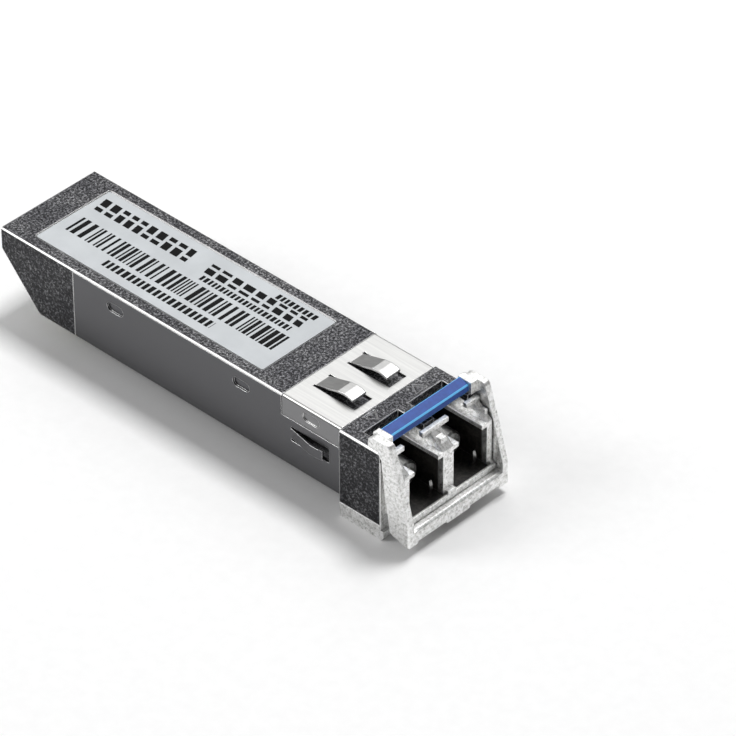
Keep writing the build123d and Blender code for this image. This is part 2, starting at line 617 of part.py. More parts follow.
def make_port_liner():
    """Dark liner: rear wall with two holder bores, two floors and a cheek on each port side."""
    floor_z = (TONGUE_TOP + SEAM, PORT_FLOOR)
    liner_z = (TONGUE_TOP + SEAM, PORT_TOP - SEAM)
    rear_x = (FLANGE_FRONT, PORT_REAR)
    half_liner = HALF_CAVITY - 0.08
    wall = block(rear_x, (-half_liner, half_liner), (TONGUE_TOP + SEAM, CAVITY_TOP - 0.1))
    pieces = [wall]
    floor_front = PORT_FRONT - FLOOR_LIP - SEAM
    for side in SIDES:
        floor_y = span(side, PORT_INNER - LINER, PORT_OUTER + LINER)
        cheek_x = (PORT_REAR - 0.3, LINER_FRONT - SEAM)
        pieces.append(block(cheek_x, floor_y, floor_z))
        port_y = span(side, PORT_INNER + SEAM, PORT_OUTER - SEAM)
        pieces.append(block((LINER_FRONT - 0.1, floor_front), port_y, floor_z))
        inner_cheek = span(side, PORT_INNER - LINER, PORT_INNER)
        pieces.append(block(cheek_x, inner_cheek, liner_z))
        outer_cheek = span(side, PORT_OUTER, PORT_OUTER + LINER)
        pieces.append(block(cheek_x, outer_cheek, liner_z))
    liner = joined(pieces) - cam_room()
    for side in SIDES:
        bore_x = (FLANGE_FRONT - 1, PORT_REAR + 1)
        liner -= rod(bore_x, side * PORT_CENTRE, AXIS_HEIGHT, HOLDER_RADIUS + BORE_GAP)
    return liner


# ---------------------------------------------------------------- bail
def cam_profile():
    """Flat-follower cam whose lift grows evenly with the turn: an involute about the pivot."""
    steps = 10
    points = []
    for step in range(steps + 1):
        turn = radians(BAIL_OPEN_ANGLE) * step / steps
        lift = CAM_START + CAM_RATE * turn
        along = -lift * cos(turn) + CAM_RATE * sin(turn)
        up = -lift * sin(turn) - CAM_RATE * cos(turn)
        points.append((PIVOT_X + along, PIVOT_HEIGHT + up))
    return points


def make_bail_ring():
    """Closed ring: two tapered arms, upper core bar, lower bar with end tabs and the cam lobe."""
    head_rear = NOSE_FRONT - BAIL_HEAD_SETBACK
    head_low = BODY_HEIGHT + BAIL_HEAD_LIFT
    front = OVERALL_LENGTH
    outline = [(head_rear, head_low), (head_rear, BAIL_TOP), (head_rear + BAIL_HEAD_LENGTH, BAIL_TOP)]
    outline += [(front - 1.1, 5.65), (front, 1.6), (front, TAB_BOTTOM)]
    outline += [(front - BAIL_TAB_LENGTH, TAB_BOTTOM), (PIVOT_X - 0.4, TAB_BOTTOM + 0.45)]
    outline += [(PIVOT_X - 0.85, PIVOT_HEIGHT - 1.3), (STRIP_FRONT + 0.65, 4.0)]
    outline += [(STRIP_FRONT + 0.2, BODY_HEIGHT - 0.5), (STRIP_FRONT - 0.35, head_low)]
    arm_y = (ARM_INNER, ARM_OUTER)
    arm = side_cut(outline, arm_y)
    upright = arm.edges().filter_by(Axis.Y)
    arm = fillet(upright.group_by(Axis.Z)[-1].sort_by(Axis.X)[0], 0.9)
    arm = fillet(arm.edges().filter_by(Axis.Y).group_by(Axis.Z)[-1].sort_by(Axis.X)[-1], 0.6)
    arm = chamfer(arm.faces().sort_by(Axis.Y)[-1].edges(), BAIL_EDGE)
    bore_y = (ARM_INNER - 1, ARM_OUTER - PIVOT_SKIN)
    arm -= cross_rod(PIVOT_X, bore_y, PIVOT_HEIGHT, PIVOT_RADIUS + PIVOT_CLEARANCE)
    pieces = mirrored(arm)
    half_sleeve = SLEEVE_LENGTH / 2
    for side in SIDES:
        head = span(side, half_sleeve, ARM_INNER + WALL_GAP)
        head_x = (head_rear + 0.1, head_rear + 1.9)
        pieces.append(block(head_x, head, (head_low, BAIL_TOP - SLEEVE_DROP)))
        tab = span(side, ARM_OUTER - BAIL_TAB_WIDTH, ARM_INNER + WALL_GAP)
        pieces.append(block((front - BAIL_TAB_LENGTH, front - SEAM), tab, (TAB_BOTTOM, BAR_TOP - 0.1)))
    pieces.append(block(core_bar_x(), (-ARM_INNER, ARM_INNER), core_bar_z()))
    bar_front = front - SEAM
    bar = [(BAR_REAR, BAR_BOTTOM), (bar_front, BAR_BOTTOM), (bar_front, BAR_TOP - 0.2)]
    bar += [(front - 0.3, BAR_TOP), (BAR_REAR, BAR_TOP)]
    pieces.append(side_cut(bar, (-ARM_INNER - WALL_GAP, ARM_INNER + WALL_GAP)))
    lobe = cam_profile()
    lobe += [(bar_front, lobe[-1][1]), (bar_front, BAR_TOP - 0.2)]
    lobe += [(BAR_REAR, BAR_TOP - 0.2), (BAR_REAR, PIVOT_HEIGHT - 0.85)]
    pieces.append(side_cut(lobe, (-CAM_WIDTH / 2, CAM_WIDTH / 2)))
    return joined(pieces)


def core_bar_x():
    """Front and rear of the upper bar inside the sleeve."""
    return (NOSE_FRONT - 0.9, NOSE_FRONT - 0.2)


def core_bar_z():
    """Top and bottom of the upper bar inside the sleeve."""
    low = BODY_HEIGHT + SLEEVE_LIFT + SLEEVE_WALL
    return (low, BAIL_TOP - SLEEVE_DROP - SLEEVE_SLOPE - SLEEVE_WALL)


def make_bail_sleeve():
    """Moulded grip round the upper bar, a little lower at its front."""
    rear = core_bar_x()[0] - SLEEVE_WALL
    front = core_bar_x()[1] + SLEEVE_WALL
    low = BODY_HEIGHT + SLEEVE_LIFT
    top = BAIL_TOP - SLEEVE_DROP
    outline = [(rear, low), (rear, top - 0.1), (rear + 0.12, top), (front - 0.15, top - SLEEVE_SLOPE)]
    outline += [(front, top - 0.42), (front, low + 0.1), (front - 0.1, low)]
    half = SLEEVE_LENGTH / 2
    grip = side_cut(outline, (-half, half))
    return grip - block(core_bar_x(), (-half - 1, half + 1), core_bar_z())


# ---------------------------------------------------------------- latch slider
def make_latch_slider():
    """Slider: front block that the cam pushes, two tines with 45 degree ends."""
    half = SLIDER_WIDTH / 2
    front_z = (SLIDER_BOTTOM, SLIDER_TOP)
    slider = block((BLOCK_REAR, SLIDER_FRONT), (-half, half), front_z)
    slider = chamfer(slider.edges().filter_by(Axis.Z), 0.2)
    half_pocket = SPRING_RADIUS + SPRING_WIRE + SLIDER_CLEARANCE
    pocket_z = (SLIDER_BOTTOM - 1, SPRING_HEIGHT + half_pocket)
    pocket = block((BLOCK_REAR - 1, BLOCK_REAR + SPRING_POCKET), (-half_pocket, half_pocket), pocket_z)
    slider -= pocket
    tip = SHOULDER_X + 0.2
    tine_z = (TINE_LIFT, TINE_LIFT + TINE_HEIGHT)
    tine = [(tip + TINE_HEIGHT, tine_z[0]), (BLOCK_REAR + 0.5, tine_z[0])]
    tine += [(BLOCK_REAR + 0.5, SLIDER_TOP), (BODY_LENGTH + 0.6, SLIDER_TOP)]
    tine += [(BODY_LENGTH + 0.4, tine_z[1]), (tip, tine_z[1])]
    for side in SIDES:
        slider += side_cut(tine, span(side, half - TINE_WIDTH, half))
    return slider


def make_slider_spring():
    """Coil spring between the keel of the frame and the slider's pocket."""
    start = KEEL_FRONT + SPRING_WIRE + SEAM
    end = BLOCK_REAR + SPRING_POCKET - SPRING_WIRE - SEAM
    path = Helix(pitch=(end - start) / SPRING_TURNS, height=end - start, radius=SPRING_RADIUS)
    wire = Plane(origin=path @ 0, z_dir=path % 0) * Circle(SPRING_WIRE)
    coil = sweep(wire, path=path, is_frenet=True)
    return Pos(start, 0, SPRING_HEIGHT) * Rot(0, 90, 0) * coil


# ---------------------------------------------------------------- board and components
def chip_place(name):
    """Centre of a chip on the board."""
    places = {
        "laser_driver": (BOARD_END - DRIVER_SETBACK, -DRIVER_OFFSET),
        "post_amplifier": (BOARD_END - DRIVER_SETBACK, DRIVER_OFFSET),
        "microcontroller": (BOARD_START + MICROCONTROLLER_PLACE, 0.0),
    }
    return places[name]


def make_circuit_board():
    """Board with a narrow card edge at the rear and two screw holes."""
    z = (BOARD_BOTTOM, BOARD_TOP)
    half_edge = BOARD_EDGE_WIDTH / 2
    half_board = HALF_CAVITY - BOARD_GAP
    edge_end = BOARD_START + BOARD_EDGE_LENGTH
    board = block((BOARD_START, BOARD_END), (-half_edge, half_edge), z)
    board = chamfer(board.edges().filter_by(Axis.Y).group_by(Axis.X)[0], 0.25)
    board += block((edge_end, BOARD_END), (-half_board, half_board), z)
    for side in SIDES:
        y = side * (HALF_CAVITY - POST_RADIUS - BOARD_GAP)
        board -= post(POST_PLACE, y, (BOARD_BOTTOM - 1, BOARD_TOP + 1), SCREW_RADIUS + 0.05)
    return board


def make_edge_contacts():
    """Gold fingers: ten on each face of the card edge, with the outer ones reaching further."""
    pads = []
    for index in range(CONTACT_COUNT):
        y = (index - (CONTACT_COUNT - 1) / 2) * CONTACT_PITCH
        start = BOARD_START + (0.4 if index in (1, 4, 7) else 0.8)
        pad_y = (y - CONTACT_WIDTH / 2, y + CONTACT_WIDTH / 2)
        pad_x = (start, BOARD_START + 0.8 + CONTACT_LENGTH)
        pads.append(block(pad_x, pad_y, (BOARD_TOP, BOARD_TOP + CONTACT_THICK)))
        pads.append(block(pad_x, pad_y, (BOARD_BOTTOM - CONTACT_THICK, BOARD_BOTTOM)))
    return Compound(pads)


def make_chip(name):
    """Moulded package with a chamfered pin-one corner."""
    length, width, height = CHIPS[name]
    x, y = chip_place(name)
    body = block(centred(x, length), centred(y, width), (BOARD_TOP, BOARD_TOP + height))
    return chamfer(body.edges().group_by(Axis.Z)[-1], 0.08)


def make_heat_pad():
    """Soft pad between the laser driver and the shell's pedestal."""
    x, y = chip_place("laser_driver")
    z = BOARD_TOP + CHIPS["laser_driver"][2]
    return block(centred(x, HEAT_PAD_SIZE), centred(y, HEAT_PAD_SIZE), (z, z + HEAT_PAD))


def make_power_inductors():
    """Two wound inductors near the card edge."""
    coils = []
    for side in SIDES:
        body_x = centred(BOARD_START + INDUCTOR_PLACE, INDUCTOR_SIZE)
        body_y = centred(side * INDUCTOR_OFFSET, INDUCTOR_SIZE)
        body = block(body_x, body_y, (BOARD_TOP, BOARD_TOP + INDUCTOR_HEIGHT))
        coils.append(chamfer(body.edges().filter_by(Axis.Z), 0.3))
    return Compound(coils)


def make_capacitors():
    """Small ceramic capacitors in rows across the board."""
    parts = []
    z = (BOARD_TOP, BOARD_TOP + CAPACITOR_HEIGHT)
    for row in range(5):
        x = BOARD_START + FRONT_BANK + row * FRONT_BANK_STEP[0]
        for column in range(5):
            y = (column - 2) * FRONT_BANK_STEP[1]
            parts.append(block(centred(x, CAPACITOR_WIDTH), centred(y, CAPACITOR_LENGTH), z))
    for column in range(6):
        y = (column - 2.5) * REAR_BANK_STEP
        x = BOARD_START + REAR_BANK
        parts.append(block(centred(x, CAPACITOR_LENGTH), centred(y, CAPACITOR_WIDTH), z))
    return Compound(parts)


def make_board_screws():
    """Two pan-head screws up through the board into the shell's posts."""
    screws = []
    for side in SIDES:
        y = side * (HALF_CAVITY - POST_RADIUS - BOARD_GAP)
        head_z = (BOARD_BOTTOM - SCREW_HEAD_HEIGHT, BOARD_BOTTOM)
        head = post(POST_PLACE, y, head_z, SCREW_HEAD_RADIUS)
        head = fillet(head.edges().group_by(Axis.Z)[0], 0.15)
        slot_z = (head_z[0] - 0.1, head_z[0] + SCREW_RECESS_DEPTH)
        long_x = centred(POST_PLACE, SCREW_RECESS_LENGTH)
        thin_x = centred(POST_PLACE, SCREW_RECESS_WIDTH)
        head -= block(long_x, centred(y, SCREW_RECESS_WIDTH), slot_z)
        head -= block(thin_x, centred(y, SCREW_RECESS_LENGTH), slot_z)
        shank_z = (BOARD_BOTTOM - 0.1, BOARD_BOTTOM + SCREW_LENGTH)
        screws.append(head + post(POST_PLACE, y, shank_z, SCREW_RADIUS))
    return Compound(screws)


# ---------------------------------------------------------------- optical sub-assemblies
def holder_start():
    """Where the holder's flange begins, behind the port liner."""
    return FLANGE_FRONT - HOLDER_FLANGE


def make_sleeve_holder(side):
    """Turned holder: nose in the port, flange behind the liner, neck for the can."""
    y = side * PORT_CENTRE
    z = AXIS_HEIGHT
    start = holder_start()
    nose = rod((start, PORT_REAR + HOLDER_REACH), y, z, HOLDER_RADIUS)
    nose = chamfer(nose.edges().group_by(Axis.X)[-1], 0.2)
    holder = nose + rod((start, FLANGE_FRONT), y, z, HOLDER_FLANGE_RADIUS)
    holder += rod((start - HOLDER_NECK, start), y, z, HOLDER_NECK_RADIUS)
    holder += rod((can_start(), start - HOLDER_NECK), y, z, HOLDER_FLANGE_RADIUS)
    lip = PORT_REAR + HOLDER_REACH - HOLDER_LIP
    holder -= rod((PORT_REAR - STUB_LENGTH, PORT_REAR), y, z, STUB_RADIUS)
    holder -= rod((PORT_REAR, lip), y, z, SPLIT_SLEEVE_RADIUS)
    return holder - rod((lip - 0.1, lip + 1), y, z, ENTRY_RADIUS)


def make_split_sleeve(side):
    """Zirconia sleeve with a slit along its length, inside the holder."""
    y = side * PORT_CENTRE
    x = (PORT_REAR + SEAM, PORT_REAR + HOLDER_REACH - HOLDER_LIP - SEAM)
    cut_x = (x[0] - 1, x[1] + 1)
    sleeve = rod(x, y, AXIS_HEIGHT, SPLIT_SLEEVE_RADIUS) - rod(cut_x, y, AXIS_HEIGHT, FERRULE_BORE)
    return sleeve - block(cut_x, (y - 0.06, y + 0.06), (AXIS_HEIGHT, AXIS_HEIGHT + 2))


def make_fibre_stub(side):
    """Short ceramic stub with the built-in fibre, pressed into the holder behind the sleeve."""
    y = side * PORT_CENTRE
    stub = rod((PORT_REAR - STUB_LENGTH, PORT_REAR), y, AXIS_HEIGHT, STUB_RADIUS)
    return chamfer(stub.edges().group_by(Axis.X)[-1], 0.1)


def can_start():
    """Rear of the holder, where the can is welded on."""
    return holder_start() - HOLDER_NECK - HOLDER_REAR_FLANGE


def make_can(side):
    """Drawn metal cap over the laser or the photodiode."""
    end = can_start()
    cap = rod((end - CAN_LENGTH, end), side * PORT_CENTRE, AXIS_HEIGHT, CAN_RADIUS)
    return fillet(cap.edges().group_by(Axis.X)[-1], 0.2)


def make_header(side):
    """Round header behind the can, with four leads."""
    y = side * PORT_CENTRE
    end = can_start() - CAN_LENGTH
    header = rod((end - HEADER_LENGTH, end), y, AXIS_HEIGHT, HEADER_RADIUS)
    header = chamfer(header.edges().group_by(Axis.X)[0], 0.1)
    for index in range(PIN_COUNT):
        angle = pi / PIN_COUNT + 2 * pi * index / PIN_COUNT
        pin_y = y + PIN_CIRCLE * cos(angle)
        pin_z = AXIS_HEIGHT + PIN_CIRCLE * sin(angle)
        header += rod((end - HEADER_LENGTH - PIN_LENGTH, end), pin_y, pin_z, PIN_RADIUS)
    return header


def make_flex(side):
    """Flexible circuit from the leads down to the board's top face."""
    y = side * PORT_CENTRE
    rear = can_start() - CAN_LENGTH - HEADER_LENGTH
    face = rear - FLEX_STANDOFF
    back = face - FLEX_THICK
    low = BOARD_TOP
    top = AXIS_HEIGHT + FLEX_RISE
    foot = BOARD_END - FLEX_FOOT
    points = [(face, top), (face, low + FLEX_BEND), (face - FLEX_BEND, low), (foot, low)]
    inner = [(foot, low + FLEX_THICK), (face - FLEX_BEND - FLEX_CORNER, low + FLEX_THICK)]
    inner += [(back, low + FLEX_BEND + FLEX_CORNER), (back, top)]
    flex = side_cut(points + inner, centred(y, FLEX_TAIL_WIDTH))
    flex += block((back, face), centred(y, FLEX_WIDTH), (low + FLEX_PAD_LIFT, top))
    for index in range(PIN_COUNT):
        angle = pi / PIN_COUNT + 2 * pi * index / PIN_COUNT
        pin_y = y + PIN_CIRCLE * cos(angle)
        pin_z = AXIS_HEIGHT + PIN_CIRCLE * sin(angle)
        flex -= rod((face - 1, rear + 0.01), pin_y, pin_z, PIN_RADIUS + BORE_GAP)
    return flex


def make_optics_clamp():
    """Comb that fits over both holders' necks and presses their flanges forwards."""
    end = holder_start() - SEAM
    half = HALF_CAVITY - 0.1
    comb = block((end - CLAMP_LENGTH, end), (-half, half), (PORT_FLOOR - 0.05, CAVITY_TOP - 0.1))
    for side in SIDES:
        y = side * PORT_CENTRE
        bore = HOLDER_NECK_RADIUS + WALL_GAP
        comb -= rod((end - 2, end + 1), y, AXIS_HEIGHT, bore)
        comb -= block((end - 2, end + 1), centred(y, 2 * bore), (AXIS_HEIGHT, BODY_HEIGHT + 1))
    return comb


# ---------------------------------------------------------------- the whole module
def all_pieces():
    """Every node's name and its solid, in the working axes."""
    pieces = {
        "top_shell": make_top_shell(),
        "label": make_label(),
        "bottom_cover": make_bottom_cover(),
        "ground_collar": make_ground_collar(),
        "receptacle_frame": make_receptacle_frame(),
        "port_liner": make_port_liner(),
        "bail_ring": make_bail_ring(),
        "bail_sleeve": make_bail_sleeve(),
        "latch_slider": make_latch_slider(),
        "slider_spring": make_slider_spring(),
        "circuit_board": make_circuit_board(),
        "edge_contacts": make_edge_contacts(),
        "heat_pad": make_heat_pad(),
        "power_inductors": make_power_inductors(),
        "capacitors": make_capacitors(),
        "board_screws": make_board_screws(),
        "optics_clamp": make_optics_clamp(),
    }
    for chip in CHIPS:
        pieces[chip] = make_chip(chip)
    for name, side in (("transmitter", -1), ("receiver", 1)):
        pieces[name + "_sleeve_holder"] = make_sleeve_holder(side)
        pieces[name + "_split_sleeve"] = make_split_sleeve(side)
        pieces[name + "_fibre_stub"] = make_fibre_stub(side)
        pieces[name + "_can"] = make_can(side)
        pieces[name + "_header"] = make_header(side)
        pieces[name + "_flex"] = make_flex(side)
    return pieces


os.makedirs("parts", exist_ok=True)
placed = Location((-HALF_LENGTH, 0, NOSE_DROP))
for node, piece in all_pieces().items():
    export_step(placed * piece, "parts/" + node + ".step")
print("overall length", OVERALL_LENGTH, "pivot at", PIVOT_X - HALF_LENGTH, PIVOT_HEIGHT + NOSE_DROP)
print("slider metres per radian", CAM_RATE / 1000)
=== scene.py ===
# %% [markdown]
# # A pluggable optical transceiver, dressed in Blender
# The CAD model already gives every shape its size and place, so this script spends its effort on
# finishes: die-cast zinc with a fine texture, folded sheet steel, bright nickel, moulded plastic and a
# printed label.  It works in metres, and every small size is written in millimetres times MM.

import random
from math import cos, pi, radians, sin

import bmesh
import bpy
from mathutils import Matrix, Vector


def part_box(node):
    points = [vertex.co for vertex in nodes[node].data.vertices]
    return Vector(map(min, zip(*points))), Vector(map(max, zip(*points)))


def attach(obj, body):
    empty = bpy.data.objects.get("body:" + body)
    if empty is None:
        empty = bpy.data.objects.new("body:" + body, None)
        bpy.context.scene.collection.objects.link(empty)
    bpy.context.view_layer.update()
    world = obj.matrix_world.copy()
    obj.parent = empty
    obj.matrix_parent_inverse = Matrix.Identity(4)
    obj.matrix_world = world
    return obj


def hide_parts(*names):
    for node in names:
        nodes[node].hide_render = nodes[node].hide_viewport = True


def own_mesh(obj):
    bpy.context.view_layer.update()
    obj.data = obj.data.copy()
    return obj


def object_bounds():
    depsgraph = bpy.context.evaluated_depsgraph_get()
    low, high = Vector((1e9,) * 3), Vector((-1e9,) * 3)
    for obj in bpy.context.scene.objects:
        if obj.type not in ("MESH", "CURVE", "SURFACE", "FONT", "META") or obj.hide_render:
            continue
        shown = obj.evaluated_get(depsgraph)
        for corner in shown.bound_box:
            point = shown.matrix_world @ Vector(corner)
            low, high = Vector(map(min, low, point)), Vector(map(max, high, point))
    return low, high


MM = 0.001
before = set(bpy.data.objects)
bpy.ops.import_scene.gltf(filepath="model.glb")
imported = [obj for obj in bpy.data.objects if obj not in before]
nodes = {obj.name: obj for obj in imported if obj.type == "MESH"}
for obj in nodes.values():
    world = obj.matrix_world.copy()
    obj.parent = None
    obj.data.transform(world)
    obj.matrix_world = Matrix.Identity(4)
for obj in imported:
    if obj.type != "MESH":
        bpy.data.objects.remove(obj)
cad_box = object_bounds()
print("pieces from the CAD:", len(nodes))

# %% [markdown]
# ## Colours and nodes
# Colours are picked as sRGB hex values, the way a paint chart gives them.  Shaders add light, so they
# need linear values, and one small function does that change for the whole script.  A second function
# adds a shader node of any kind with its settings and its links, so that a material reads as a short
# list.


# %% Colour helper
def linear(hex_code):
    """Linear RGBA of an sRGB hex colour."""
    channels = [int(hex_code[i:i + 2], 16) / 255 for i in (1, 3, 5)]
    return [c / 12.92 if c <= 0.04045 else ((c + 0.055) / 1.055) ** 2.4 for c in channels] + [1.0]


print("mid grey in linear light:", [round(c, 3) for c in linear("#808080")])


# %% Node helper
def add_node(tree, kind, inputs=None, stops=(), **settings):
    """A new shader node.

    inputs maps a socket's name or number to a link, a hex colour or a plain value; stops are the
    (position, hex colour) pairs of a colour ramp; settings name attributes or sockets.
    """
    made = tree.nodes.new(kind)
    for name, value in settings.items():
        if hasattr(made, name):
            setattr(made, name, value)
        else:
            made.inputs[name.replace("_", " ")].default_value = value
    for name, source in (inputs or {}).items():
        if isinstance(source, bpy.types.NodeSocket):
            tree.links.new(source, made.inputs[name])
        else:
            made.inputs[name].default_value = linear(source) if isinstance(source, str) else source
    if stops:
        band = made.color_ramp.elements
        while len(band) < len(stops):
            band.new(0.5)
        for element, (position, hex_code) in zip(band, stops):
            element.position = position
            element.color = linear(hex_code)
    return made


def new_material(name):
    """An empty node material, its tree, and the socket of the part's own coordinates."""
    made = bpy.data.materials.new(name)
    made.use_nodes = True
    tree = made.node_tree
    tree.nodes.clear()
    place = add_node(tree, "ShaderNodeTexCoord").outputs["Object"]
    return made, tree, place


def scale_of(size_mm):
    """The texture scale whose lumps are about size_mm across."""
    return 1 / (size_mm * MM)


print("a pattern of 0.5 mm needs a scale of", round(scale_of(0.5)))

# %% [markdown]
# ## Masks for edges and sides
# Handling rubs the edges of plated metal bright, and the pale edge tone is partly a painted highlight.
# The Bevel node finds them: it rounds the normal near an edge, and the angle to the flat normal is the
# mask.  It doesn't see an edge that the CAD has already rounded, so a second mask finds those by the way
# the face leans.  A third mask picks out the long sides, which are given a darker tone as painted shade.

# %% Rubbed edges and painted edge highlights
BEVEL_SAMPLES = 6


def worn_and_highlit_edges(tree, radius_mm, low, high):
    """Rounded normal near edges, and a mask: 1 where the turn is low or less, 0 where it is high."""
    rounded = add_node(tree, "ShaderNodeBevel", samples=BEVEL_SAMPLES, Radius=radius_mm * MM)
    flat = add_node(tree, "ShaderNodeNewGeometry")
    normals = {0: rounded.outputs["Normal"], 1: flat.outputs["Normal"]}
    turn = add_node(tree, "ShaderNodeVectorMath", normals, operation="DOT_PRODUCT")
    mask = add_node(tree, "ShaderNodeMapRange", {"Value": turn.outputs["Value"]},
                    From_Min=low, From_Max=high, To_Min=1.0, To_Max=0.0)
    return rounded.outputs["Normal"], mask.outputs["Result"]


print("edges are sampled", BEVEL_SAMPLES, "times a point")

# %% Rounded edges and long sides
LEAN_RANGE = (0.28, 0.45)
SIDE_RANGE = (0.55, 0.9)


def rounded_edge(tree, side):
    """1 along rounded edges, where a face leans halfway between up and the side, X or Y."""
    surface = add_node(tree, "ShaderNodeNewGeometry")
    parts = add_node(tree, "ShaderNodeSeparateXYZ", {0: surface.outputs["Normal"]})
    lean = add_node(tree, "ShaderNodeMath", {0: parts.outputs[side], 1: parts.outputs["Z"]},
                    operation="MULTIPLY")
    size = add_node(tree, "ShaderNodeMath", {0: lean.outputs[0]}, operation="ABSOLUTE")
    mask = add_node(tree, "ShaderNodeMapRange", {"Value": size.outputs[0]},
                    From_Min=LEAN_RANGE[0], From_Max=LEAN_RANGE[1])
    return mask.outputs["Result"]


# The long sides are where the metals get a darker tone as painted shade.
def shaded_side_mask(tree):
    """1 on faces that look sideways along y, 0 on faces that look up, down or along x."""
    surface = add_node(tree, "ShaderNodeNewGeometry")
    parts = add_node(tree, "ShaderNodeSeparateXYZ", {0: surface.outputs["True Normal"]})
    size = add_node(tree, "ShaderNodeMath", {0: parts.outputs["Y"]}, operation="ABSOLUTE")
    mask = add_node(tree, "ShaderNodeMapRange", {"Value": size.outputs[0]},
                    From_Min=SIDE_RANGE[0], From_Max=SIDE_RANGE[1])
    return mask.outputs["Result"]


print("a face leaning 45 degrees has a lean of", round(sin(pi / 4) * cos(pi / 4), 2))

# %% [markdown]
# ## Hanging a finish
# Each piece from the CAD gets one material, by its name.  The names that are done are kept in a set, so
# that the last of these cells can print any piece that was forgotten.

# %% Hang
finished = set()


def hang(material, *names):
    """Give the named CAD pieces this material."""
    for name in names:
        nodes[name].data.materials.clear()
        nodes[name].data.materials.append(material)
        finished.add(name)
    print(material.name, "on", ", ".join(names))


print("pieces to finish:", len(nodes))

# %% [markdown]
# ## Die-cast zinc with a dark nickel plate
# The shell is cast in a mould whose walls are eroded to a fine texture, then plated dark.  Light breaks
# up on the grain, so the roof shows light and dark specks, and broad faint clouds where the plate is
# thicker.  Along the edges the texture is smoothed and rubbed bright, and the white edges are also a
# painted highlight.  The long sides get a darker copy of the specks as painted shade.  The real grain is
# too fine to show at this size, so it is drawn coarser, at about a quarter of a millimetre.

# %% Shell metal
SPECK_MM = 0.26
CLOUD_MM = 3.0


def dark_textured_zinc():
    """Dark nickel on an eroded casting: pale specks, painted bright edges, painted shade on the sides.
    """
    made, tree, place = new_material("dark_nickel_on_textured_zinc")
    specks = add_node(tree, "ShaderNodeTexNoise", {"Vector": place},
                      Scale=scale_of(SPECK_MM), Detail=4.0, Roughness=0.8).outputs["Fac"]
    clouds = add_node(tree, "ShaderNodeTexNoise", {"Vector": place},
                      Scale=scale_of(CLOUD_MM), Detail=2.0, Roughness=0.6).outputs["Fac"]
    roof_tone = add_node(tree, "ShaderNodeValToRGB", {0: specks},
                         stops=[(0.36, "#18181a"), (0.5, "#444446"), (0.63, "#b4b4b6")])
    # The long sides take a darker copy of the specks: painted shade.
    shaded_side_tone = add_node(tree, "ShaderNodeValToRGB", {0: specks},
                         stops=[(0.38, "#1c1c1e"), (0.52, "#343436"), (0.64, "#8a8a8c")])
    cloud_tone = add_node(tree, "ShaderNodeValToRGB", {0: clouds},
                          stops=[(0.35, "#ffffff"), (0.65, "#c8c8cc")])
    tones = {0: shaded_side_mask(tree), 6: roof_tone.outputs["Color"], 7: shaded_side_tone.outputs["Color"]}
    speckled = add_node(tree, "ShaderNodeMix", tones, data_type="RGBA")
    layers = {0: 1.0, 6: speckled.outputs[2], 7: cloud_tone.outputs["Color"]}
    cloudy = add_node(tree, "ShaderNodeMix", layers, data_type="RGBA", blend_type="MULTIPLY")
    # Edges painted near white: partly rubbed plate, partly a painted highlight.
    normal, edge = worn_and_highlit_edges(tree, radius_mm=0.22, low=0.8, high=0.985)
    sharp = add_node(tree, "ShaderNodeMix", {0: edge, 6: cloudy.outputs[2], 7: "#f2f2f2"},
                     data_type="RGBA")
    rubbed_and_highlit = {0: rounded_edge(tree, "Y"), 6: sharp.outputs[2], 7: "#ffffff"}
    base = add_node(tree, "ShaderNodeMix", rubbed_and_highlit, data_type="RGBA")
    bump = add_node(tree, "ShaderNodeBump", {"Height": specks, "Normal": normal},
                    Strength=0.4, Distance=0.03 * MM)
    # The texture scatters some light as a paint does, so the plate is not quite a full metal.
    shader = add_node(tree, "ShaderNodeBsdfPrincipled",
                      {"Base Color": base.outputs[2], "Normal": bump.outputs["Normal"]},
                      Metallic=0.85, Roughness=0.42)
    add_node(tree, "ShaderNodeOutputMaterial", {"Surface": shader.outputs[0]})
    return made


hang(dark_textured_zinc(), "top_shell")

# %% [markdown]
# ## Folded sheet steel
# The cover and the collar are stamped from thin sheet and folded, then nickel plated.  Sheet is smooth:
# only a very faint rolling grain runs along it.  Its cut edges and bends are painted as thin white
# lines, partly bare metal and partly a painted highlight.  The long sides get a darker tone as painted
# shade.
# The grain is a noise stretched along the sheet, drawn broader than real rolling lines so that it shows.

# %% Sheet metals
ROLLING_LENGTH_MM = 9.0
ROLLING_WIDTH_MM = 0.25


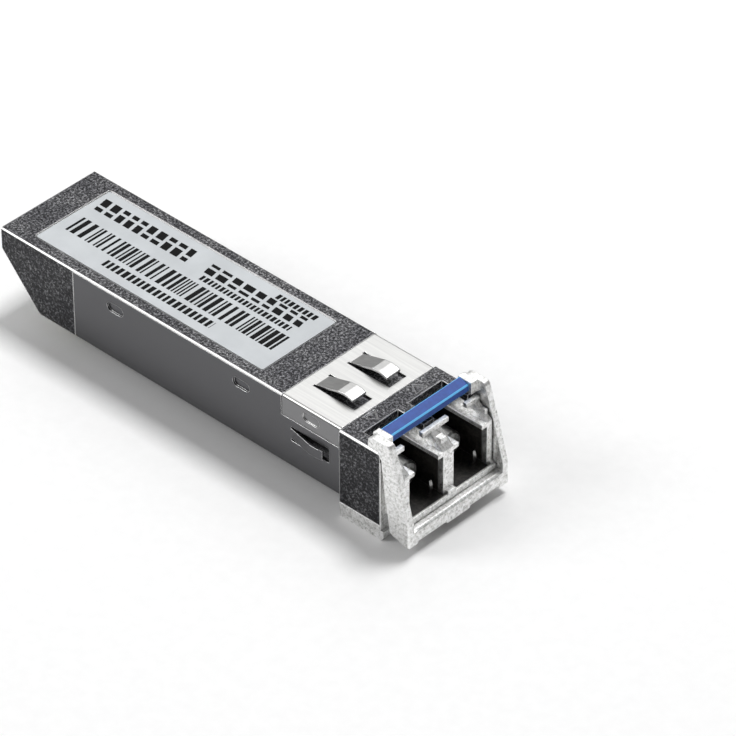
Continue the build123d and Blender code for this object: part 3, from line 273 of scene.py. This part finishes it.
def plated_sheet(name, dull, bright, side, roughness):
    """Nickel on rolled sheet: faint streaks, edges painted bright and painted shade on the sides."""
    made, tree, place = new_material(name)
    streaks = (scale_of(ROLLING_LENGTH_MM), scale_of(ROLLING_WIDTH_MM), scale_of(ROLLING_WIDTH_MM))
    stretch = add_node(tree, "ShaderNodeMapping", {"Vector": place}, Scale=streaks)
    rolled = add_node(tree, "ShaderNodeTexNoise", {"Vector": stretch.outputs["Vector"]},
                      Scale=1.0, Detail=2.0).outputs["Fac"]
    tone = add_node(tree, "ShaderNodeValToRGB", {0: rolled}, stops=[(0.3, dull), (0.7, bright)])
    # The side tone on the long sides is painted shade.
    flat = add_node(tree, "ShaderNodeMix", {0: shaded_side_mask(tree), 6: tone.outputs["Color"], 7: side},
                    data_type="RGBA")
    # Edges painted white: partly bare metal, partly a painted highlight.
    normal, edge = worn_and_highlit_edges(tree, radius_mm=0.12, low=0.7, high=0.98)
    base = add_node(tree, "ShaderNodeMix", {0: edge, 6: flat.outputs[2], 7: "#ffffff"}, data_type="RGBA")
    bump = add_node(tree, "ShaderNodeBump", {"Height": rolled, "Normal": normal},
                    Strength=0.12, Distance=0.01 * MM)
    shader = add_node(tree, "ShaderNodeBsdfPrincipled",
                      {"Base Color": base.outputs[2], "Normal": bump.outputs["Normal"]},
                      Metallic=1.0, Roughness=roughness)
    add_node(tree, "ShaderNodeOutputMaterial", {"Surface": shader.outputs[0]})
    return made


# Dark nickel on the cover: a plain mid grey that hardly mirrors, sides barely darker as painted shade.
cover_sheet = plated_sheet("dark_nickel_on_folded_sheet", "#5a5a5c", "#646466", side="#5c5c5e",
                           roughness=0.34)
# Bright nickel on the collar: nearly white where it mirrors the light; mid grey at its sides is painted
# shade.
collar_sheet = plated_sheet("bright_nickel_on_spring_sheet", "#cccccb", "#dadad8", side="#808081",
                            roughness=0.3)
hang(cover_sheet, "bottom_cover")
hang(collar_sheet, "ground_collar")

# %% [markdown]
# ## Bright nickel on a casting
# The port frame and the bail are cast and plated bright.  The plate copies every small ripple of the
# casting, so flat faces look mottled: patches of white and mid grey a third of a millimetre across.
# The same noise drives the colour, the roughness and the bump, because one ripple causes all three.

# %% Bright casting
RIPPLE_MM = 0.34


def bright_nickel_casting():
    """Bright nickel plate over a rippled casting: mottled white and grey, edges painted white."""
    made, tree, place = new_material("bright_nickel_on_cast_zinc")
    mottle = add_node(tree, "ShaderNodeTexNoise", {"Vector": place},
                      Scale=scale_of(RIPPLE_MM), Detail=4.0, Roughness=0.75).outputs["Fac"]
    flat = add_node(tree, "ShaderNodeValToRGB", {0: mottle},
                    stops=[(0.32, "#b0b0ae"), (0.46, "#e4e4e2"), (0.6, "#ffffff")])
    # Edges painted white: partly rubbed plate, partly a painted highlight.
    normal, edge = worn_and_highlit_edges(tree, radius_mm=0.16, low=0.75, high=0.98)
    base = add_node(tree, "ShaderNodeMix", {0: edge, 6: flat.outputs["Color"], 7: "#ffffff"},
                    data_type="RGBA")
    rough = add_node(tree, "ShaderNodeMapRange", {"Value": mottle}, To_Min=0.55, To_Max=0.35)
    bump = add_node(tree, "ShaderNodeBump", {"Height": mottle, "Normal": normal},
                    Strength=0.3, Distance=0.012 * MM)
    surface = {"Base Color": base.outputs[2], "Roughness": rough.outputs["Result"],
               "Normal": bump.outputs["Normal"]}
    shader = add_node(tree, "ShaderNodeBsdfPrincipled", surface, Metallic=1.0)
    add_node(tree, "ShaderNodeOutputMaterial", {"Surface": shader.outputs[0]})
    return made


hang(bright_nickel_casting(), "receptacle_frame", "bail_ring")

# %% [markdown]
# ## Moulded plastics
# Plastic has no metal colour in its shine: an IOR near 1.5 gives a small white highlight over the
# pigment.  The port liner is black with a sandy mould texture; the bail's grip is blue and smoother.
# A paler tone along the edges stands for the light that a moulded edge gathers.

# %% Plastics
EDGE_RADIUS_MM = 0.12
PLASTIC_IOR = 1.49


def moulded_plastic(name, deep, light, edge_highlight_colour, texture_mm, depth_mm, roughness, edge_limits):
    """Pigmented moulded plastic: even colour, fine mould texture, paler edges as a painted highlight."""
    made, tree, place = new_material(name)
    texture = add_node(tree, "ShaderNodeTexNoise", {"Vector": place},
                       Scale=scale_of(texture_mm), Detail=3.0, Roughness=0.65).outputs["Fac"]
    flat = add_node(tree, "ShaderNodeValToRGB", {0: texture}, stops=[(0.38, deep), (0.66, light)])
    normal, edge = worn_and_highlit_edges(tree, EDGE_RADIUS_MM, *edge_limits)
    sharp = add_node(tree, "ShaderNodeMix", {0: edge, 6: flat.outputs["Color"], 7: edge_highlight_colour},
                     data_type="RGBA")
    pale = {0: rounded_edge(tree, "X"), 6: sharp.outputs[2], 7: edge_highlight_colour}
    base = add_node(tree, "ShaderNodeMix", pale, data_type="RGBA")
    bump = add_node(tree, "ShaderNodeBump", {"Height": texture, "Normal": normal},
                    Strength=0.4, Distance=depth_mm * MM)
    shader = add_node(tree, "ShaderNodeBsdfPrincipled",
                      {"Base Color": base.outputs[2], "Normal": bump.outputs["Normal"]},
                      Roughness=roughness, IOR=PLASTIC_IOR)
    add_node(tree, "ShaderNodeOutputMaterial", {"Surface": shader.outputs[0]})
    return made


# The liner's sandy texture makes it a dull, faintly speckled black.
liner_plastic = moulded_plastic("black_moulded_liner", "#060606", "#34312e", "#6a6a6a",
                                texture_mm=0.3, depth_mm=0.05, roughness=0.45, edge_limits=(0.72, 0.98))
# The grip is smooth enough to show a soft sheen; the pale line along its rounded edges is a painted
# highlight.
grip_plastic = moulded_plastic("blue_moulded_grip", "#073f94", "#0b4ba6", "#6cc4ff",
                               texture_mm=0.6, depth_mm=0.006, roughness=0.5, edge_limits=(0.93, 0.998))
hang(liner_plastic, "port_liner")
hang(grip_plastic, "bail_sleeve")

# %% [markdown]
# ## The plain finishes
# The label's film, and the board, gold fingers and parts that show through the open tail, each get
# their real finish.  They are small, so one function serves them all: a tone that wanders a little at
# one real scale, and a very shallow bump of the same pattern.


# %% Plain finish
def plain_finish(name, dark, light, size_mm, roughness, depth_mm=0.01, **optics):
    """A finish whose colour wanders between two tones; optics are more settings of its shader."""
    made, tree, place = new_material(name)
    spread = add_node(tree, "ShaderNodeTexNoise", {"Vector": place},
                      Scale=scale_of(size_mm), Detail=3.0, Roughness=0.6).outputs["Fac"]
    tone = add_node(tree, "ShaderNodeValToRGB", {0: spread}, stops=[(0.35, dark), (0.65, light)])
    bump = add_node(tree, "ShaderNodeBump", {"Height": spread}, Strength=0.3, Distance=depth_mm * MM)
    shader = add_node(tree, "ShaderNodeBsdfPrincipled",
                      {"Base Color": tone.outputs["Color"], "Normal": bump.outputs["Normal"]},
                      Roughness=roughness, **optics)
    add_node(tree, "ShaderNodeOutputMaterial", {"Surface": shader.outputs[0]})
    return made


# Satin polyester film: an even cool grey with a wide, soft sheen.
label_film = plain_finish("satin_label_film", "#bdc1c4", "#c8cccf", size_mm=5.0, roughness=0.5,
                          depth_mm=0.004, IOR=1.5)
hang(label_film, "label")

# %% Metals inside
# Machined stainless steel: bright grey with fine tool marks that blur what it mirrors.
stainless = plain_finish("turned_stainless_steel", "#8d8d8c", "#b4b4b3", size_mm=0.4, roughness=0.3,
                         Metallic=1.0)
hang(stainless, "latch_slider", "slider_spring", "board_screws", "optics_clamp",
     "transmitter_sleeve_holder", "receiver_sleeve_holder", "transmitter_can", "receiver_can")
# Soft gold plate: a warm yellow mirror with a slight haze.
gold = plain_finish("soft_gold_plate", "#c99a3e", "#e3b95c", size_mm=0.6, roughness=0.28, Metallic=1.0)
hang(gold, "edge_contacts", "transmitter_header", "receiver_header")

# %% Chips, ferrite and ceramics
# Black moulding compound: matt dark grey, from the filler in the resin.
chip_black = plain_finish("black_moulding_compound", "#151515", "#262626", size_mm=0.2, roughness=0.6,
                          IOR=1.5)
hang(chip_black, "laser_driver", "post_amplifier", "microcontroller")
# Sintered ferrite: a slightly blue charcoal, pressed and fired, with a dull face.
ferrite = plain_finish("sintered_ferrite", "#2b2b2e", "#3b3b3f", size_mm=0.2, roughness=0.55, IOR=1.5)
hang(ferrite, "power_inductors")
# Sintered capacitor ceramic: tan, with a faint gloss.
capacitor_ceramic = plain_finish("sintered_ceramic", "#8a6b4c", "#a3835f", size_mm=0.3,
                                 roughness=0.45, IOR=1.5)
hang(capacitor_ceramic, "capacitors")
# Polished zirconia: milky white with a strong sharp highlight, from its high IOR.
zirconia = plain_finish("polished_zirconia", "#e9e8e2", "#f6f5f0", size_mm=0.5, roughness=0.12, IOR=2.1)
hang(zirconia, "transmitter_split_sleeve", "receiver_split_sleeve", "transmitter_fibre_stub",
     "receiver_fibre_stub")

# %% Film and pad
# Polyimide film: clear amber over copper, seen as a glossy orange brown.
flex_film = plain_finish("amber_polyimide_film", "#8a4a12", "#a86422", size_mm=0.8, roughness=0.35,
                         IOR=1.5)
hang(flex_film, "transmitter_flex", "receiver_flex")
# Filled silicone: a matt, slightly rubbery blue grey.
soft_pad = plain_finish("filled_silicone_pad", "#7f93a8", "#98abc0", size_mm=0.3, roughness=0.7, IOR=1.5)
hang(soft_pad, "heat_pad")

# %% [markdown]
# ## The board's solder mask
# A board is green lacquer over glass cloth and copper.  Where copper runs below it the green is paler,
# and the weave of the cloth shows as a slight ripple.  A brick pattern gives the straight paler lines
# without drawing every track.

# %% Solder mask
TRACK_CELL_MM = 2.6
WEAVE_MM = 0.5


def solder_mask():
    """Green lacquer over a glass weave: glossy, with paler lines where copper runs below it."""
    made, tree, place = new_material("green_solder_mask_on_glass_laminate")
    lacquer = {"Vector": place, "Color1": "#14532c", "Color2": "#185c33", "Mortar": "#2f7d45",
               "Mortar Size": 0.035}
    tracks = add_node(tree, "ShaderNodeTexBrick", lacquer, Scale=scale_of(TRACK_CELL_MM))
    weave = add_node(tree, "ShaderNodeTexNoise", {"Vector": place},
                     Scale=scale_of(WEAVE_MM), Detail=3.0, Roughness=0.6).outputs["Fac"]
    bump = add_node(tree, "ShaderNodeBump", {"Height": weave}, Strength=0.3, Distance=0.02 * MM)
    shader = add_node(tree, "ShaderNodeBsdfPrincipled",
                      {"Base Color": tracks.outputs["Color"], "Normal": bump.outputs["Normal"]},
                      Roughness=0.3, IOR=1.55)
    add_node(tree, "ShaderNodeOutputMaterial", {"Surface": shader.outputs[0]})
    return made


hang(solder_mask(), "circuit_board")
print("finished pieces:", len(finished), "with none:", sorted(set(nodes) - finished))

# %% [markdown]
# ## The label's print
# A real label carries a name, a bar code and rows of small type.  Here each row of type becomes plain
# blocks of uneven length, which read as print from a distance and say nothing.  The print could be a
# painted pattern, but ink is a layer with an edge, so it is one mesh of thin boxes that stand about a
# hundredth of a millimetre above the film.  Bars finer than 0.2 mm would blur into grey, so none is.

# %% Blocks of ink
INK_HEIGHT = 0.012 * MM
label_low, label_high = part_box("label")
dice = random.Random(7)


def ink_box(mesh, x, y, slant=0.0):
    """A flat block of ink; slant pushes its far edge along x, as italic type leans."""
    low, high = label_high.z, label_high.z + INK_HEIGHT
    corners = []
    for height in (low, high):
        corners.append(mesh.verts.new((x[0], y[0], height)))
        corners.append(mesh.verts.new((x[1], y[0], height)))
        corners.append(mesh.verts.new((x[1] + slant, y[1], height)))
        corners.append(mesh.verts.new((x[0] + slant, y[1], height)))
    for face in ((3, 2, 1, 0), (4, 5, 6, 7), (0, 1, 5, 4), (1, 2, 6, 5), (2, 3, 7, 6), (3, 0, 4, 7)):
        mesh.faces.new([corners[i] for i in face])


def share(low, high, part):
    """A place part of the way between two numbers."""
    return low + (high - low) * part


label_length, label_width = label_high.x - label_low.x, label_high.y - label_low.y
print("label", round(label_length / MM, 1), "by", round(label_width / MM, 1), "mm")

# %% Rows of type
BOLD_WIDTH_MM = (0.8, 1.3)
BOLD_GAP = 0.44 * MM
BOLD_SLIT = 0.36 * MM
SLIT_PLACES = (0.36, 0.5, 0.64)


def type_row(mesh, x, y, block_mm, gap_mm):
    """Blocks of uneven width from one end of a row to the other."""
    at = x[0]
    while at < x[1]:
        width = block_mm * MM * dice.uniform(0.75, 1.25)
        ink_box(mesh, (at, min(at + width, x[1])), y)
        at += width + gap_mm * MM


def bold_row(mesh, x, y, slant_mm):
    """Heavy marks, each two stacked blocks with a thin slit between them."""
    at = x[0]
    while at < x[1] - BOLD_GAP:
        width = min(dice.uniform(*BOLD_WIDTH_MM) * MM, x[1] - at)
        middle = share(y[0], y[1], dice.choice(SLIT_PLACES))
        lean = slant_mm * MM * (middle - y[0]) / (y[1] - y[0])
        ink_box(mesh, (at, at + width), (y[0], middle - BOLD_SLIT / 2), lean)
        ink_box(mesh, (at + lean, at + width + lean), (middle + BOLD_SLIT / 2, y[1]),
                slant_mm * MM - lean)
        at += width + BOLD_GAP


print("bold marks are", BOLD_WIDTH_MM[0], "to", BOLD_WIDTH_MM[1], "mm wide")

# %% Rows of bars
BAR_WIDTHS_MM = (0.2, 0.2, 0.3, 0.42, 0.56)
BAR_GAPS_MM = (0.2, 0.2, 0.32, 0.5)


def bar_row(mesh, x, y):
    """Bars of four widths with gaps of three."""
    at = x[0]
    while at < x[1]:
        width = dice.choice(BAR_WIDTHS_MM) * MM
        ink_box(mesh, (at, at + width), y)
        at += width + dice.choice(BAR_GAPS_MM) * MM


def across_label(near, far):
    """The y limits of a row, as shares of the label's width from its near edge."""
    return share(label_low.y, label_high.y, near), share(label_low.y, label_high.y, far)


def along_label(start, end):
    """The x limits of a row, as shares of the label's length from its rear edge."""
    return share(label_low.x, label_high.x, start), share(label_low.x, label_high.x, end)


print("the thinnest bar is", min(BAR_WIDTHS_MM), "mm")

# %% Print the label
ink_mesh = bmesh.new()
bold_row(ink_mesh, along_label(0.03, 0.44), across_label(0.69, 0.89), slant_mm=-0.3)
bold_row(ink_mesh, along_label(0.52, 0.95), across_label(0.70, 0.855), slant_mm=-0.25)
type_row(ink_mesh, along_label(0.775, 0.95), across_label(0.875, 0.95), block_mm=0.42, gap_mm=0.2)
type_row(ink_mesh, along_label(0.533, 0.92), across_label(0.587, 0.663), block_mm=0.36, gap_mm=0.2)
bar_row(ink_mesh, along_label(0.04, 0.947), across_label(0.27, 0.53))
type_row(ink_mesh, along_label(0.257, 0.733), across_label(0.106, 0.21), block_mm=0.46, gap_mm=0.26)
ink_data = bpy.data.meshes.new("label_print")
ink_mesh.to_mesh(ink_data)
ink_mesh.free()
label_print = bpy.data.objects.new("label_print", ink_data)
bpy.context.scene.collection.objects.link(label_print)
# Printing ink: a thin matt black whose binder hardly shines.
ink = plain_finish("black_printing_ink", "#040405", "#0d0d0e", size_mm=0.4, roughness=0.8,
                   depth_mm=0.003, IOR=1.3)
ink_data.materials.append(ink)
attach(label_print, "module")
print("printed blocks:", len(ink_data.polygons) // 6)

# %% [markdown]
# ## Leaf springs in the ports
# A small spring leaf stands on each port's floor and presses on the connector.  It is a strip of thin
# plated steel with a bowed middle and a narrower tip.  A bent plane with thickness would do, but rows
# of points with quads between them keep the bow and the taper exact, so the strip is built from them.
# Each port's axis is the middle of the holder that looks out of it.

# %% Leaf sizes
LEAF_WIDTH = 0.42 * MM
LEAF_HEIGHT = 1.5 * MM
LEAF_THICK = 0.12 * MM
LEAF_BOW = 0.12 * MM
LEAF_TAPER = 0.25
LEAF_STEPS = 8
LEAF_SETBACK = 1.25 * MM
LEAF_FROM_AXIS = 1.65 * MM
FLOOR_OF_PORT = 3.5 * MM
liner_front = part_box("port_liner")[1].x
leaf_place = liner_front - LEAF_SETBACK
print("leaves at x", round(leaf_place / MM, 2), "mm; liner's front", round(liner_front / MM, 2), "mm")


# %% Leaf springs
def leaf_row(mesh, x, y, up):
    """The four points across the leaf, a share up of the way from its foot to its tip."""
    front = x + LEAF_BOW * sin(pi * up)
    half = LEAF_WIDTH / 2 * (1 - LEAF_TAPER * up ** 3)
    height = FLOOR_OF_PORT + LEAF_HEIGHT * up
    return [mesh.verts.new((along, y + side, height))
            for along in (front, front - LEAF_THICK) for side in (-half, half)]


def leaf_spring(name, x, y):
    """A bowed upright strip that faces along x."""
    mesh = bmesh.new()
    rows = [leaf_row(mesh, x, y, step / LEAF_STEPS) for step in range(LEAF_STEPS + 1)]
    for low, high in zip(rows, rows[1:]):
        for first, second in ((0, 1), (1, 3), (3, 2), (2, 0)):
            mesh.faces.new((low[first], low[second], high[second], high[first]))
    mesh.faces.new([rows[0][i] for i in (0, 2, 3, 1)])
    mesh.faces.new([rows[-1][i] for i in (0, 1, 3, 2)])
    data = bpy.data.meshes.new(name)
    mesh.to_mesh(data)
    mesh.free()
    data.materials.append(stainless)
    made = bpy.data.objects.new(name, data)
    bpy.context.scene.collection.objects.link(made)
    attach(made, "module")
    print(name, "faces:", len(data.polygons))


for leaf_name, holder in (("transmit_leaf", "transmitter_sleeve_holder"),
                          ("receive_leaf", "receiver_sleeve_holder")):
    holder_low, holder_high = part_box(holder)
    leaf_spring(leaf_name, leaf_place, (holder_low.y + holder_high.y) / 2 + LEAF_FROM_AXIS)

# %% [markdown]
# ## Return spring as a wire coil
# The coil spring under the ports is squeezed when the bail pushes the slider back. A solid coil from
# the CAD can't shorten, so a new coil takes its place. A curve with a round bevel draws the wire, and
# is then turned into a mesh.

# %% Coil sizes
WIRE_RADIUS = 0.13 * MM
TURNS = 6.0
POINTS_PER_TURN = 16
CLOSED_ENDS = 0.6
coil_low, coil_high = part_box("slider_spring")
coil_radius = (coil_high.y - coil_low.y) / 2 - WIRE_RADIUS
coil_length = coil_high.x - coil_low.x
coil_height = (coil_high.z + coil_low.z) / 2

# %% Wire of the coil
coil_curve = bpy.data.curves.new("return_spring", "CURVE")
coil_curve.dimensions = "3D"
coil_curve.bevel_depth = WIRE_RADIUS
coil_curve.bevel_resolution = 3
coil_curve.use_fill_caps = True
wire_line = coil_curve.splines.new("POLY")
count = int(TURNS * POINTS_PER_TURN) + 1
wire_line.points.add(count - 1)
for index, point in enumerate(wire_line.points):
    along = index / (count - 1)
    eased = along - CLOSED_ENDS * sin(2 * pi * along) / (2 * pi)
    angle = 2 * pi * TURNS * along
    x = coil_low.x + WIRE_RADIUS + (coil_length - 2 * WIRE_RADIUS) * eased
    point.co = (x, coil_radius * cos(angle), coil_height + coil_radius * sin(angle), 1)
print("wire points:", len(wire_line.points))

# %% Return spring
coil_shape = bpy.data.objects.new("return_spring_line", coil_curve)
coil_mesh = bpy.data.meshes.new_from_object(coil_shape)
bpy.data.objects.remove(coil_shape)
coil_mesh.materials.clear()
coil_mesh.materials.append(stainless)
return_spring = bpy.data.objects.new("return_spring", coil_mesh)
bpy.context.scene.collection.objects.link(return_spring)
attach(return_spring, "module")
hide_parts("slider_spring")
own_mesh(return_spring)
print("coil faces:", len(coil_mesh.polygons))

# %% [markdown]
# ## Floor
# The module stands on a plain white sheet.  Matt paper has no mirror image, so the floor only takes the
# soft shadow, and the metal above it mirrors an even white.

# %% Floor
FLOOR_HALF = 1.5
FLOOR_CELLS = 8
TOOTH_MM = 1.5


def floor_material():
    """Matt white paper: a clean white with the faintest tooth."""
    made, tree, place = new_material("matt_white_paper")
    tooth = add_node(tree, "ShaderNodeTexNoise", {"Vector": place},
                     Scale=scale_of(TOOTH_MM), Detail=3.0, Roughness=0.6).outputs["Fac"]
    tone = add_node(tree, "ShaderNodeValToRGB", {0: tooth}, stops=[(0.3, "#f6f6f6"), (0.7, "#f9f9f9")])
    shader = add_node(tree, "ShaderNodeBsdfPrincipled", {"Base Color": tone.outputs["Color"]},
                      Roughness=0.9, IOR=1.4)
    add_node(tree, "ShaderNodeOutputMaterial", {"Surface": shader.outputs[0]})
    return made


floor_mesh = bmesh.new()
bmesh.ops.create_grid(floor_mesh, x_segments=FLOOR_CELLS, y_segments=FLOOR_CELLS, size=FLOOR_HALF)
floor_data = bpy.data.meshes.new("floor")
floor_mesh.to_mesh(floor_data)
floor_mesh.free()
floor_data.materials.append(floor_material())
floor = bpy.data.objects.new("floor", floor_data)
floor.location.z = cad_box[0][2]
bpy.context.scene.collection.objects.link(floor)
print("floor at z", round(floor.location.z / MM, 2), "mm")

# %% [markdown]
# ## Light
# Flat metal shows what it mirrors, so the lights are large soft boxes.  A small strong one overhead
# draws the shadow.  A wide panel behind the roof is what the collar and the label mirror.  A third, low
# on the near side, is what the rounded roof edge mirrors, as a thin white line.


# %% Lights
def soft_light(name, place, size, power):
    """A square soft box that faces the module; sizes in metres, power in watts."""
    lamp = bpy.data.lights.new(name, "AREA")
    lamp.shape = "SQUARE"
    lamp.size = size
    lamp.energy = power
    made = bpy.data.objects.new(name, lamp)
    made.location = place
    made.rotation_euler = (-Vector(place)).to_track_quat("-Z", "Y").to_euler()
    bpy.context.scene.collection.objects.link(made)
    print(name, "is", round(Vector(place).length, 2), "m from the module")


soft_light("key_light", place=(0.0, 0.19, 0.6), size=0.18, power=2.5)
soft_light("back_panel", place=(-0.47, 0.49, 0.73), size=0.75, power=2.0)
soft_light("edge_light", place=(-0.43, -0.5, 0.46), size=0.35, power=2.2)

# %% World
WORLD_STRENGTH = 0.2
world = bpy.data.worlds.new("studio")
world.use_nodes = True
background = world.node_tree.nodes["Background"]
background.inputs["Color"].default_value = linear("#ffffff")
background.inputs["Strength"].default_value = WORLD_STRENGTH
bpy.context.scene.world = world
bpy.context.scene.view_settings.view_transform = "Standard"
print("world strength:", WORLD_STRENGTH)

# %% [markdown]
# ## Camera
# A long lens far away keeps the module's long edges almost parallel.  The camera is placed by its
# direction from a target point on the module, and then rolled a little.

# %% Camera
AZIMUTH, ELEVATION, ROLL = 43.64, 38.16, -0.29
DISTANCE = 536.8 * MM
LENS = 264.0
NEAREST = 0.01
target = Vector((9.3 * MM, 7.4 * MM, 4.8 * MM))
turn, rise = radians(AZIMUTH), radians(ELEVATION)
away = Vector((sin(turn) * cos(rise), -cos(turn) * cos(rise), sin(rise)))
lens = bpy.data.cameras.new("camera")
lens.lens = LENS
lens.clip_start = NEAREST
camera = bpy.data.objects.new("camera", lens)
facing = away.to_track_quat("Z", "Y").to_matrix().to_4x4()
rolled = Matrix.Rotation(radians(ROLL), 4, "Z")
camera.matrix_world = Matrix.Translation(target + away * DISTANCE) @ facing @ rolled
bpy.context.scene.collection.objects.link(camera)
bpy.context.scene.camera = camera
print("camera at", [round(c, 4) for c in camera.matrix_world.translation])
